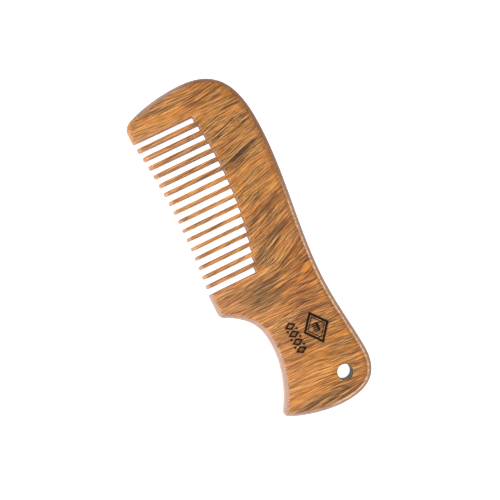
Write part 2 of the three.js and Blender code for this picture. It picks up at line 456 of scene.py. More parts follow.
# %% Mark
MARK_CENTRE = np.array([38.1, 9.1])
FRAME_HALF = np.array([6.7, 5.4])
FRAME_STROKE = 0.85
FRAME_GAP = 0.45
FRAME_HAIRLINE = 0.3
COMB_BACK_CENTRE = MARK_CENTRE + (0, 0.75)
COMB_BACK_HALF = np.array([1.75, 0.42])
COMB_TOOTH_HALF = np.array([0.2, 0.8])
COMB_TEETH = 5
ROW_CENTRE = np.array([38.4, 0.1])
ROW_PITCH = 3.35
ROW_HALF = np.array([1.55, 2.35])
ROW_STROKE = 0.62
DOT_HALF = np.array([0.5, 0.62])
DOT_ASIDE = 1.85  # mm from the middle of the row


def lozenge(centre, half):
    turns = np.array([[1, 0], [0, 1], [-1, 0], [0, -1]])
    return centre + turns * half


def shrink(half, width):
    return half - width * np.hypot(*half) / half[::-1]


def bar(centre, half):
    turns = np.array([[1, -1], [1, 1], [-1, 1], [-1, -1]])
    return centre + turns * half


def frame_shapes():
    inner = shrink(FRAME_HALF, FRAME_STROKE)
    line = shrink(inner, FRAME_GAP)
    halves = (FRAME_HALF, inner, line, shrink(line, FRAME_HAIRLINE))
    return [lozenge(MARK_CENTRE, half) for half in halves]


def little_comb():
    shapes = [bar(COMB_BACK_CENTRE, COMB_BACK_HALF)]
    reach = COMB_BACK_HALF[0] - 0.25
    down = COMB_BACK_HALF[1] + COMB_TOOTH_HALF[1]
    for across in np.linspace(-reach, reach, COMB_TEETH):
        shapes.append(bar(COMB_BACK_CENTRE + (across, -down), COMB_TOOTH_HALF))
    return shapes


def lozenge_row():
    shapes = []
    for across in (-1.5, -0.5, 0.5, 1.5):
        centre = ROW_CENTRE + (across * ROW_PITCH, 0)
        shapes.append(lozenge(centre, ROW_HALF))
        shapes.append(lozenge(centre, shrink(ROW_HALF, ROW_STROKE)))
    for across in (-1, 0, 1):
        for side in (-1, 1):
            centre = ROW_CENTRE + (across * ROW_PITCH, side * DOT_ASIDE)
            shapes.append(lozenge(centre, DOT_HALF))
    return shapes


mark = frame_shapes() + little_comb() + lozenge_row()
print(len(mark), "shapes in the mark")

# %% [markdown]
# ## One net of triangles for the whole comb
# Every line drawn so far goes into one constrained Delaunay triangulation: the contour,
# the hole, the rings, the mark, and straight lines where one CAD part ends and the next
# begins. The net respects each line, so we can simply ask each triangle's middle where it
# lies: outside, in the head, in a tooth, or in a burnt stroke. Loose points fill the broad
# middle, which keeps the triangles there from becoming long slivers.

# %% Draw all the lines
MERGE = 1e-4
FILL_STEP = 2.6  # mm between the loose points
CLEAR_OF_BAND = 0.8  # mm that a loose point keeps from each kind of line
CLEAR_OF_HOLE = 1.2
CLEAR_OF_MARK = 1
HALO = 0.5  # mm, the width of the scorched brown round a burnt line

plan_points = []
plan_edges = []


def draw(path, closed=False):
    first = len(plan_points)
    plan_points.extend(Vector(point) for point in path)
    last = len(plan_points) - 1
    plan_edges.extend((here, here + 1) for here in range(first, last))
    if closed:
        plan_edges.append((last, first))


def part_lines():
    middle = (LOW[1] + HIGH[1]) / 2
    tall = HIGH[1] - LOW[1]
    head_x, heel_x = BOX["head"][1][0], BOX["heel"][0][0]
    draw([(head_x, slots[0][:, 1].max() - ROOT_ROUND), (head_x, middle + tall)])
    draw([(heel_x, slots[-1][:, 1].max() - ROOT_ROUND), (heel_x, middle + tall)])
    for x in (BOX["grip"][0][0], BOX["grip"][1][0]):
        draw([(x, middle - tall), (x, middle + tall)])
    for name in TEETH:
        low, high = BOX[name]
        draw([(low[0], high[1]), (high[0], high[1])])


def fill_points():
    across = np.arange(LOW[0], HIGH[0], FILL_STEP)
    up = np.arange(LOW[1], HIGH[1], FILL_STEP)
    x, y = np.meshgrid(across, up)
    x[::2] += FILL_STEP / 2
    points = np.column_stack([x.ravel(), y.ravel()])
    away, _ = nearest(points, contour, True)
    from_hole = np.hypot(*(points - hole_centre).T)
    from_mark = np.min([nearest(points, shape, True)[0] for shape in mark], axis=0)
    clear = (away > BAND_DEPTH + CLEAR_OF_BAND) & (from_mark > CLEAR_OF_MARK)
    clear &= from_hole > hole_radius + CLEAR_OF_HOLE
    return points[clear & inside(points, contour)]


draw(contour, True)
draw(hole, True)
for ring in rings:
    draw(ring, True)
for ring in slot_rings:
    draw(ring)
for ring in hole_rings:
    draw(ring, True)
for shape in mark:
    draw(shape, True)
    halo_half = np.ptp(shape, axis=0) / 2 + 1.5 * HALO
    draw(lozenge(shape.mean(axis=0), halo_half), True)
part_lines()
plan_points.extend(Vector(point) for point in fill_points())
net = delaunay_2d_cdt(plan_points, plan_edges, [], 0, MERGE)
plan = np.array([tuple(point) for point in net[0]])
triangles = np.array(net[2])
print(len(plan), "points and", len(triangles), "triangles in the net")

# %% [markdown]
# Each triangle's middle is now sorted into its part. The teeth are asked first, because
# a tooth lies inside the strip of the comb that the back belongs to.

# %% Sort the triangles
middles = plan[triangles].mean(axis=1)
a, b, c = (plan[triangles[:, corner]] for corner in range(3))
turned = (b - a)[:, 0] * (c - a)[:, 1] - (b - a)[:, 1] * (c - a)[:, 0] < 0
triangles[turned] = triangles[turned][:, ::-1]
is_wood = inside(middles, contour) & ~inside(middles, hole)
triangles = triangles[is_wood]
middles = middles[is_wood]
burnt = np.sum([inside(middles, shape) for shape in mark], axis=0) % 2 == 1
owner = np.full(len(triangles), "", dtype=object)
for name in ("hang_end", "grip", "heel", "back", "head"):
    owner[middles[:, 0] < BOX[name][1][0]] = name
for name in TEETH:
    low, high = BOX[name]
    owner[(middles[:, 0] > low[0]) & (middles[:, 0] < high[0]) & (middles[:, 1] < high[1])] = name
for name in ("head", "tooth_08", "back", "grip", "hang_end"):
    print(name, "has", int((owner == name).sum()), "triangles")

# %% [markdown]
# ## From the plan to the solid
# The round-over of the outline is a quarter circle, and so is the much smaller easing of
# the sawn edges and of the hole. The height of the top surface is the full thickness minus
# what both quarter circles take away. The slope of those circles also gives the exact
# direction in which the surface faces, so light flows over the joints between the parts
# without a seam, and no smoothing has to guess.

# %% Heights and facing
STEEPEST = 1e3  # a wall that is truly upright would have no end to its slope


def taken_away(distance, radius):
    left = (radius - distance).clip(0)
    return radius - np.sqrt(radius**2 - left**2)


def slope(distance, radius):
    left = (radius - distance).clip(0)
    return (left / (np.sqrt((radius**2 - left**2).clip(0)) + TINY)).clip(0, STEEPEST)


from_rim, rim_way = nearest(plan, outline, True)
cut_lines = [(path, False, CUT_EASE) for path in slots] + [(hole, True, HOLE_EASE)]
from_cut = np.full(len(plan), np.inf)
cut_way = np.zeros((len(plan), 2))
ease = np.full(len(plan), CUT_EASE)
for path, closed, radius in cut_lines:
    away, way = nearest(plan, path, closed)
    closer = away < from_cut
    from_cut[closer], cut_way[closer], ease[closer] = away[closer], way[closer], radius

sunk = taken_away(from_rim, EDGE_ROUND) + taken_away(from_cut, ease)
lean = rim_way * slope(from_rim, EDGE_ROUND)[:, None] + cut_way * slope(from_cut, ease)[:, None]
facing = np.column_stack([-lean, np.ones(len(plan))])
facing = facing / np.linalg.norm(facing, axis=1)[:, None]
side_facing = np.column_stack([-lean, np.zeros(len(plan))])
side_facing = side_facing / (np.linalg.norm(side_facing, axis=1)[:, None] + TINY)
print("deepest edge is", round(float(sunk.max()), 2), "mm below the face")

# %% [markdown]
# ## Build the parts
# Each part takes its own triangles twice, once for the front and once, turned over, for
# the back, and a wall of quads closes it all round. Where the wall is the comb's own
# edge it faces the way the edge does; where it only divides two parts it is flat and
# hidden. Burnt triangles sit a little deeper than the face, with a tiny wall of their
# own, because a burnt line on wood really is a shallow groove.

# %% Mesh of one part
BURN_DEPTH = 0.22  # mm
BACK, FRONT, GROOVE = 0, 1, 2
WOOD, CHAR = 0, 1

count = len(plan)
levels = np.vstack([
    np.column_stack([plan, LOW[2] + sunk]),
    np.column_stack([plan, HIGH[2] - sunk]),
    np.column_stack([plan, HIGH[2] - sunk - BURN_DEPTH]),
])
all_edges = {(int(t[i]), int(t[(i + 1) % 3])) for t in triangles for i in range(3)}
rim_amount = (1 - from_rim / BAND_DEPTH).clip(0, 1)
from_mark = np.min([nearest(plan, shape, True)[0] for shape in mark], axis=0)
scorch_amount = (1 - from_mark / HALO).clip(0, 1)
cut_amount = (1 - from_cut / CUT_EASE).clip(0, 1)
by_hole = ease == HOLE_EASE
fields = {"rim": rim_amount, "scorch": scorch_amount}
fields |= {"sawn": cut_amount * ~by_hole, "drilled": cut_amount * by_hole}


def at(level, *points):
    return [level * count + point for point in points]


def part_faces(own, own_burnt):
    faces, normals, finish = [], [], []
    for (p, q, r), char in zip(own.tolist(), own_burnt):
        faces.append(at(GROOVE if char else FRONT, p, q, r))
        normals.extend([facing[p], facing[q], facing[r]])
        faces.append(at(BACK, p, r, q))
        normals.extend(facing[k] * (1, 1, -1) for k in (p, r, q))
        finish.extend([CHAR if char else WOOD, WOOD])
    edges = {}
    for corners, char in zip(own.tolist(), own_burnt):
        for here, there in zip(corners, corners[1:] + corners[:1]):
            edges[here, there] = char
    for (p, q), char in edges.items():
        step = plan[q] - plan[p]
        flat = np.array([step[1], -step[0], 0]) / (np.hypot(*step) + TINY)
        if (q, p) not in edges:
            faces.append(at(BACK, p, q) + at(FRONT, q, p))
            shared = (q, p) in all_edges
            ends = [flat, flat] if shared else [side_facing[p], side_facing[q]]
            normals.extend([ends[0], ends[1], ends[1], ends[0]])
            finish.append(WOOD)
        elif char and not edges[q, p]:
            faces.append(at(GROOVE, q, p) + at(FRONT, p, q))
            normals.extend([-flat] * 4)
            finish.append(CHAR)
    return faces, normals, finish


def make_part(name):
    chosen = owner == name
    faces, normals, finish = part_faces(triangles[chosen], burnt[chosen].tolist())
    used, order = np.unique(np.concatenate(faces), return_inverse=True)
    ends = np.cumsum([len(face) for face in faces])[:-1]
    mesh = bpy.data.meshes.new(name + "_wood")
    mesh.from_pydata(levels[used] * MM, [], [part.tolist() for part in np.split(order, ends)])
    mesh.polygons.foreach_set("use_smooth", [True] * len(faces))
    mesh.polygons.foreach_set("material_index", finish)
    mesh.normals_split_custom_set([tuple(normal) for normal in normals])
    for label, amount in fields.items():
        field = mesh.attributes.new(label, "FLOAT", "POINT")
        field.data.foreach_set("value", amount[used % count].astype(np.float32))
    part = bpy.data.objects.new(name + "_wood", mesh)
    bpy.context.collection.objects.link(part)
    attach(part, "root")
    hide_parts(name)
    return part


parts = {name: make_part(name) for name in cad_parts}
print(len(parts), "parts,", sum(len(part.data.polygons) for part in parts.values()), "faces")

# %% [markdown]
# ## The wood, one effect at a time
# Sandalwood has interlocked grain: short dark and pale fibres that lean one way, then the
# other, over soft bands of orange, tan and olive heartwood. Each effect becomes a shader
# node group with its own sockets, so it can be reused with other values. These helpers
# keep the wiring short: a value is linked if it comes from a node, and set if it doesn't.

# %% Node helpers
FLOAT, VECTOR, COLOUR = "NodeSocketFloat", "NodeSocketVector", "NodeSocketColor"


def paint(red, green, blue):
    """A colour picked on screen, 0 to 255, as the linear colour a shader works with."""
    shares = [value / 255 for value in (red, green, blue)]
    linear = [s / 12.92 if s < 0.04045 else ((s + 0.055) / 1.055) ** 2.4 for s in shares]
    return (*linear, 1.0)


def feed(tree, socket, value):
    if isinstance(value, bpy.types.NodeSocket):
        tree.links.new(value, socket)
    else:
        socket.default_value = value


def node(tree, kind, inputs=(), **settings):
    made = tree.nodes.new(kind)
    for key, value in settings.items():
        setattr(made, key, value)
    for key, value in dict(inputs).items():
        feed(tree, made.inputs[key], value)
    return made


def sums(tree, operation, *values):
    made = node(tree, "ShaderNodeMath", operation=operation)
    for socket, value in zip(made.inputs, values):
        feed(tree, socket, value)
    return made.outputs[0]


def spread(tree, value, low, high, out_low=0.0, out_high=1.0):
    inputs = {"Value": value, "From Min": low, "From Max": high, "To Min": out_low, "To Max": out_high}
    made = node(tree, "ShaderNodeMapRange", inputs, interpolation_type="SMOOTHSTEP")
    return made.outputs["Result"]


def tint(tree, amount, under, over):
    made = node(tree, "ShaderNodeMix", data_type="RGBA")
    feed(tree, made.inputs[0], amount)
    feed(tree, made.inputs[6], under)
    feed(tree, made.inputs[7], over)
    return made.outputs[2]


def ramp(tree, value, stops):
    made = node(tree, "ShaderNodeValToRGB", {"Fac": value})
    line = made.color_ramp
    line.interpolation = "EASE"
    for _ in stops[2:]:
        line.elements.new(0.5)
    for element, (place, colour) in zip(line.elements, stops):
        element.position = place
        element.color = colour
    return made.outputs["Color"]


def new_group(name, inputs, outputs):
    tree = bpy.data.node_groups.new(name, "ShaderNodeTree")
    for label, kind in inputs.items():
        tree.interface.new_socket(label, in_out="INPUT", socket_type=kind)
    for label, kind in outputs.items():
        tree.interface.new_socket(label, in_out="OUTPUT", socket_type=kind)
    return tree, tree.nodes.new("NodeGroupInput").outputs, tree.nodes.new("NodeGroupOutput").inputs


def use_group(tree, group, inputs):
    made = node(tree, "ShaderNodeGroup", node_tree=group, label=group.name)
    for key, value in inputs.items():
        feed(tree, made.inputs[key], value)
    return made.outputs


print("paint(190, 135, 85) is", [round(value, 3) for value in paint(190, 135, 85)])

# %% [markdown]
# ### The lie of the grain
# The fibres run from the tooth tips to the spine, because a tooth cut across the grain
# would snap off. They don't run quite straight: in the back they lean over, and in the
# handle they lean the other way. A list of stations along the comb says how far they lean
# there, and a ramp joins the stations up. The group answers with one value, how far across
# the grain a place is, so every later pattern can be made as if the board were ideal.

# %% Group: lie of the grain
# mm along the comb, degrees of lean
LEAN_STATIONS = [
    (-70, 4), (-45, 8), (-30, 13), (-14, 22), (0, 22),
    (12, 12), (24, 0), (38, -7), (70, -4),
]
LEAN_RANGE = 30.0
LEAN_STARTS = -2.0  # mm up from the middle of the comb
LEAN_EASES = 36.0  # mm squared, how gently it starts
WANDER = 0.22  # mm, how far a fibre strays sideways
WANDER_SCALE = 0.09  # how quickly it does so, per mm


def share_along(x):
    return (x - LOW[0]) / (HIGH[0] - LOW[0])


def grain_group():
    tree, given, result = new_group("lie of the grain", {"Place": VECTOR}, {"Across": FLOAT})
    x, y, _ = node(tree, "ShaderNodeSeparateXYZ", {"Vector": given["Place"]}).outputs
    along = sums(tree, "DIVIDE", sums(tree, "SUBTRACT", x, float(LOW[0])), float(HIGH[0] - LOW[0]))
    stops = []
    for station, lean in LEAN_STATIONS:
        level = 0.5 + lean / LEAN_RANGE / 2
        stops.append((share_along(station), (level, level, level, 1)))
    lean = ramp(tree, along, stops)
    lean = sums(tree, "SUBTRACT", lean, 0.5)
    slant = sums(tree, "MULTIPLY", lean, 2 * math.radians(LEAN_RANGE))
    above = sums(tree, "SUBTRACT", y, LEAN_STARTS)
    eased = sums(tree, "SQRT", sums(tree, "MULTIPLY_ADD", above, above, LEAN_EASES))
    risen = sums(tree, "MULTIPLY", sums(tree, "ADD", above, eased), 0.5)
    across = sums(tree, "MULTIPLY_ADD", risen, slant, x)
    inputs = {"Vector": given["Place"], "Scale": WANDER_SCALE, "Detail": 0.0}
    stray = node(tree, "ShaderNodeTexNoise", inputs).outputs["Fac"]
    stray = sums(tree, "SUBTRACT", stray, 0.5)
    across = sums(tree, "MULTIPLY_ADD", stray, 4 * WANDER, across)
    tree.links.new(across, result["Across"])
    return tree


lie_of_grain = grain_group()
print("grain stations:", len(LEAN_STATIONS))

# %% [markdown]
# ### Fibres
# A fibre is long along the grain and thin across it, both ways. Squeezing a noise texture
# along Y makes streaks on the faces and dots on any edge that cuts across the grain, just
# as real end grain looks. Two limits turn the soft noise into marks: only what lies above
# the lower limit shows, and everything above the upper one is solid.

# %% Group: fibres
def fibre_group():
    sockets = {"Place": VECTOR, "Across": FLOAT, "Turn": FLOAT, "Length": FLOAT, "Width": FLOAT}
    sockets |= {"Seed": FLOAT, "Detail": FLOAT, "From": FLOAT, "To": FLOAT}
    tree, given, result = new_group("fibres", sockets, {"Fibres": FLOAT})
    _, y, z = node(tree, "ShaderNodeSeparateXYZ", {"Vector": given["Place"]}).outputs
    across = sums(tree, "MULTIPLY_ADD", y, given["Turn"], given["Across"])
    across = sums(tree, "DIVIDE", across, given["Width"])
    deep = sums(tree, "DIVIDE", z, given["Width"])
    along = sums(tree, "DIVIDE", y, given["Length"])
    squeezed = node(tree, "ShaderNodeCombineXYZ", {"X": across, "Y": along, "Z": deep}).outputs[0]
    inputs = {"Vector": squeezed, "W": given["Seed"], "Scale": 1.0, "Detail": given["Detail"]}
    noise = node(tree, "ShaderNodeTexNoise", inputs, noise_dimensions="4D")
    marks = spread(tree, noise.outputs["Fac"], given["From"], given["To"])
    tree.links.new(marks, result["Fibres"])
    return tree


fibres = fibre_group()
print("made", fibres.name)

# %% [markdown]
# The same group makes every kind of mark, so each kind is one line of numbers. Long and
# broad ones are bands in the wood, long and thin ones are fibres, and the two kinds that
# lean opposite ways cross each other, which is what gives interlocked grain its shimmer.
# "Across the board" kinds ignore the lie of the grain: they say where fibres crowd.

# %% Kinds of fibre
# lean in degrees, length, width, seed, detail, lower limit, upper limit: lengths in mm
KINDS = {
    "broad": (0, 50.0, 7.0, 3.1, 1.0, 0.35, 0.65),
    "band": (-2, 30.0, 1.9, 8.4, 1.0, 0.48, 0.66),
    "ragged": (4, 9.0, 0.9, 5.2, 2.0, 0.25, 0.75),
    "lean over": (5, 14.0, 0.24, 12.7, 0.0, 0.52, 0.57),
    "lean back": (-4, 12.0, 0.22, 21.9, 0.0, 0.54, 0.58),
    "pale": (1, 13.0, 0.26, 31.3, 0.0, 0.52, 0.58),
    "fine": (-1, 5.0, 0.20, 44.6, 0.0, 0.46, 0.56),
    "streaky": (2, 9.0, 0.36, 83.2, 0.0, 0.42, 0.54),
    "dark bundle": (10, 18.0, 0.25, 95.1, 0.0, 0.58, 0.63),
    "pale bundle": (10, 18.0, 0.28, 66.2, 0.0, 0.57, 0.63),
    "burnt": (0, 3.0, 0.35, 12.7, 2.0, 0.40, 0.65),
}
ACROSS_THE_BOARD = {
    "dense": (0, 9.0, 7.0, 61.0, 1.0, 0.40, 0.60),
    "gathered": (0, 16.0, 8.0, 27.4, 1.0, 0.46, 0.60),
    "end grain": (0, 2.5, 0.75, 71.5, 1.0, 0.42, 0.58),
}


def place_on_comb(tree):
    coordinates = node(tree, "ShaderNodeTexCoord").outputs["Object"]
    in_mm = node(tree, "ShaderNodeVectorMath", {0: coordinates, "Scale": 1 / MM}, operation="SCALE")
    return in_mm.outputs[0]


def add_fibres(tree, place, across, kind):
    lean, length, width, seed, detail, lower, upper = kind
    inputs = {"Place": place, "Across": across, "Turn": math.tan(math.radians(lean))}
    inputs |= {"Length": length, "Width": width, "Seed": seed, "Detail": detail}
    return use_group(tree, fibres, inputs | {"From": lower, "To": upper})["Fibres"]


def fibres_along_grain(tree, place):
    across = use_group(tree, lie_of_grain, {"Place": place})["Across"]
    return lambda name: add_fibres(tree, place, across, KINDS[name])


def fibres_over_board(tree, place):
    across = node(tree, "ShaderNodeSeparateXYZ", {"Vector": place}).outputs["X"]
    return lambda name: add_fibres(tree, place, across, ACROSS_THE_BOARD[name])


print(len(KINDS) + len(ACROSS_THE_BOARD), "kinds of fibre")

# %% [markdown]
# ### Patches
# Heartwood isn't the same all over. A patch is a soft oval with its own place, turn and
# size, and a ragged border, because colour follows the fibres and never ends in a line.

# %% Group: patch
PATCH_ENDS = 1.15  # in radii, where the patch has faded out
PATCH_FULL = 0.35  # and where it is at its full strength


def patch_group():
    sockets = {"Place": VECTOR, "Ragged": FLOAT, "Across": FLOAT, "Up": FLOAT}
    sockets |= {"Turn": FLOAT, "Half length": FLOAT, "Half width": FLOAT}
    tree, given, result = new_group("patch", sockets, {"Patch": FLOAT})
    x, y, _ = node(tree, "ShaderNodeSeparateXYZ", {"Vector": given["Place"]}).outputs
    right = sums(tree, "SUBTRACT", x, given["Across"])
    up = sums(tree, "SUBTRACT", y, given["Up"])
    cosine = sums(tree, "COSINE", given["Turn"])
    sine = sums(tree, "SINE", given["Turn"])
    far = sums(tree, "MULTIPLY_ADD", right, cosine, sums(tree, "MULTIPLY", up, sine))
    wide = sums(tree, "MULTIPLY", right, sine)
    wide = sums(tree, "SUBTRACT", sums(tree, "MULTIPLY", up, cosine), wide)
    far = sums(tree, "POWER", sums(tree, "DIVIDE", far, given["Half length"]), 2.0)
    wide = sums(tree, "POWER", sums(tree, "DIVIDE", wide, given["Half width"]), 2.0)
    away = sums(tree, "SQRT", sums(tree, "ADD", far, wide))
    away = sums(tree, "ADD", away, sums(tree, "SUBTRACT", given["Ragged"], 0.5))
    tree.links.new(spread(tree, away, PATCH_ENDS, PATCH_FULL), result["Patch"])
    return tree


patch = patch_group()
print("made", patch.name)

# %% [markdown]
# ### The sandalwood itself
# Now the effects are put together, from broad to fine, in the order a painter would work:
# the ground colour, the broad bands, the patches of heartwood, the crossing fibres, the
# bundles that gather in places, and last the finest pores. The pores also give the wood
# its tiny hollows and its rougher spots, so colour, shine and height agree.

# %% Recipe for wood
OCHRE = paint(236, 145, 38)
ORANGE = paint(252, 162, 66)
HONEY = paint(244, 178, 104)
BROWN = paint(134, 72, 18)
UMBER = paint(54, 30, 8)
OLIVE = paint(100, 78, 44)
ROSE = paint(232, 160, 106)
RUST = paint(192, 108, 46)

# along and up the comb, turn in degrees, half length, half width, strength: lengths in mm
OLIVE_PATCHES = [
    (-64.5, -10.0, 82, 13.0, 2.0, 0.75),
    (-60.0, 6.0, 70, 9.0, 1.6, 0.55),
    (17.5, -4.0, 100, 11.0, 7.5, 0.90),
    (21.0, -1.0, 95, 5.0, 2.2, 0.60),
    (6.0, 6.0, 60, 8.0, 5.0, 0.45),
    (65.2, -0.5, 84, 14.0, 3.4, 0.95),
    (50.0, 14.0, 20, 11.0, 6.0, 0.50),
    (-42.0, 10.0, 10, 14.0, 9.0, 0.18),
]
WARM_PATCHES = [
    (-61.5, -5.0, 88, 19.0, 7.0, 0.85),
    (-52.0, 12.0, 15, 12.0, 7.5, 0.60),
    (-24.0, 10.0, 0, 14.0, 7.5, 0.40),
    (56.0, 0.0, 95, 12.0, 7.0, 0.60),
    (60.0, -11.0, 95, 6.0, 3.5, 0.60),
    (-22.0, -10.0, 0, 42.0, 11.0, 0.45),
]
RUSTY_PATCHES = [
    (26.0, 9.0, 10, 18.0, 9.0, 0.75),
    (-2.0, 14.0, 0, 14.0, 7.0, 0.50),
]
DARK_STREAKS = [
    (-36.2, 12.3, 101, 12.0, 1.6, 0.95),
    (-34.2, 9.0, 101, 9.5, 3.2, 0.60),
    (-12.2, 11.0, 117, 12.0, 1.0, 0.80),
    (-1.0, 9.0, 116, 12.0, 1.6, 0.65),
    (3.5, 5.0, 112, 9.0, 2.2, 0.65),
    (-45.0, 15.5, 104, 9.0, 0.7, 0.60),
    (-32.6, -9.5, 90, 12.0, 0.9, 0.75),
    (65.0, -1.0, 84, 11.5, 1.7, 0.55),
]


ROSY_RANGE = (9.0, -17.0)  # mm up the comb, so the teeth are the rosiest
ROSY = 0.7
BAND = 0.35
PALE = 0.6
CROWDED_RANGE = (-6.0, 5.0)  # mm up the comb, from few dark fibres to many
CALM = 0.62  # the share of the dark fibres that the teeth still have
OVER_WHERE_DENSE = (0.25, 0.95)
BACK_WHERE_DENSE = (0.85, 0.25)
BROKEN = 0.55  # how dark a patch stays between its streaks
BUNDLED_RANGE = (-58.0, -48.0)  # mm along, because the head has hardly any bundles
FEW_BUNDLES = 0.15
PALE_BUNDLE = 0.85
DARK_BUNDLE = 0.9
FINE = 0.50
SHINE_RANGE = (0.40, 0.58)  # roughness between the pores and in them
FINE_PORE_DEPTH = 0.4


def add_patches(tree, place, ragged, base, patches, colour, within=1.0):
    for across, up, turn, half_length, half_width, strength in patches:
        inputs = {"Place": place, "Ragged": ragged, "Across": across, "Up": up}
        inputs |= {"Turn": math.radians(turn), "Half length": half_length, "Half width": half_width}
        mask = use_group(tree, patch, inputs)["Patch"]
        mask = sums(tree, "MULTIPLY", mask, within)
        base = tint(tree, sums(tree, "MULTIPLY", mask, strength), base, colour)
    return base


def times(tree, *values):
    product = values[0]
    for value in values[1:]:
        product = sums(tree, "MULTIPLY", product, value)
    return product


def wood_group():
    outputs = {"Colour": COLOUR, "Roughness": FLOAT, "Height": FLOAT}
    tree, _, result = new_group("sandalwood", {}, outputs)
    place = place_on_comb(tree)
    along, up, _ = node(tree, "ShaderNodeSeparateXYZ", {"Vector": place}).outputs
    grain = fibres_along_grain(tree, place)
    board = fibres_over_board(tree, place)
    ragged = grain("ragged")
    streaky = spread(tree, grain("streaky"), 0.0, 1.0, BROKEN, 1.0)

    colour = tint(tree, grain("broad"), OCHRE, ORANGE)
    colour = tint(tree, spread(tree, up, *ROSY_RANGE, 0.0, ROSY), colour, ROSE)
    colour = tint(tree, times(tree, grain("band"), BAND), colour, BROWN)
    colour = add_patches(tree, place, ragged, colour, RUSTY_PATCHES, RUST)
    colour = add_patches(tree, place, ragged, colour, WARM_PATCHES, ORANGE)
    colour = add_patches(tree, place, ragged, colour, OLIVE_PATCHES, OLIVE, streaky)
    colour = tint(tree, times(tree, grain("pale"), PALE), colour, HONEY)

    crowd = spread(tree, up, *CROWDED_RANGE, CALM, 1.0)
    dense = board("dense")
    lean_back = grain("lean back")
    dark = times(tree, grain("lean over"), spread(tree, dense, 0.0, 1.0, *OVER_WHERE_DENSE), crowd)
    colour = tint(tree, dark, colour, BROWN)
    dark = times(tree, lean_back, spread(tree, dense, 0.0, 1.0, *BACK_WHERE_DENSE), crowd)
    colour = tint(tree, dark, colour, UMBER)
    colour = add_patches(tree, place, ragged, colour, DARK_STREAKS, UMBER, streaky)

    past_head = spread(tree, along, *BUNDLED_RANGE, FEW_BUNDLES, 1.0)
    gathered = times(tree, board("gathered"), past_head)
    colour = tint(tree, times(tree, grain("pale bundle"), gathered, PALE_BUNDLE), colour, HONEY)
    colour = tint(tree, times(tree, grain("dark bundle"), gathered, DARK_BUNDLE), colour, UMBER)
    fine = grain("fine")
    colour = tint(tree, times(tree, fine, FINE), colour, UMBER)
    tree.links.new(colour, result["Colour"])
    tree.links.new(spread(tree, fine, 0.0, 1.0, *SHINE_RANGE), result["Roughness"])
    pores = sums(tree, "ADD", lean_back, times(tree, fine, FINE_PORE_DEPTH))
    tree.links.new(sums(tree, "SUBTRACT", 1.0, pores), result["Height"])
    return tree


wood_recipe = wood_group()
print("the wood recipe has", len(wood_recipe.nodes), "nodes")

# %% [markdown]
# ### Painted light and shade on the edge
# Near the edge, light and shade are painted into the wood's colour. The "rim" attribute that
# we stored on the mesh is 0 in the flat face and 1 on the outline, so every band below is a
# range of it. First comes painted shade, a slightly darker ring inside the spine, then a
# painted greyish sheen on the round-over, the reflection of the white room, and on its crest
# a painted pale glint, a highlight that is broken up by the dots of the end grain. The
# painted sheen thins out on the upright wall, where the plain end grain shows.

# %% Group: painted light and shade on the edge
# Painted reflection of the white room on the round-over: lilac on the tooth side, mauve along the
# spine, and brown painted shade at the head end of the spine.
LILAC_PAINTED_SHEEN = paint(158, 138, 134)
MAUVE_PAINTED_SHEEN = paint(162, 128, 108)
BROWN_PAINTED_SHADE = paint(124, 90, 70)
# Painted highlight on the crest of the spine's round-over.
PALE_PAINTED_HIGHLIGHT = paint(246, 200, 160)
# Painted light that pales the slot walls, which lie in shade.
SLOT_WALL_PAINTED_LIGHT = paint(214, 168, 146)
# Painted shade on the wall of the hanging hole.
HOLE_PAINTED_SHADE = paint(32, 24, 38)
# ranges of the rim attribute, from the face to the outline
RING = (0.0, 0.2)
ROUND_OVER = (0.42, 0.80)
UPRIGHT_WALL = (0.86, 0.995)
CREST_RISES = (0.42, 0.54)
CREST_FALLS = (0.72, 0.60)
# ranges in mm up the comb or along it
SPINE_SIDE = (-2.0, 8.0)
PAST_TOOTH_TIPS = (-20.0, -14.0)
TOWARDS_HANDLE = (-48.0, 8.0)
BROWN_TO_MAUVE = (-45.0, 0.0)
GLINT_BEGINS = (-25.0, -5.0)
PAINTED_SHADE_RING_STRENGTH = 0.35
PAINTED_SHEEN_STRENGTH = 0.85
PAINTED_SHEEN_ON_WALL = 0.45
PAINTED_SHEEN_ON_DOTS = 0.8
PAINTED_SHEEN_ON_TIPS = 0.05
GLINT_ON_DOTS = 0.45


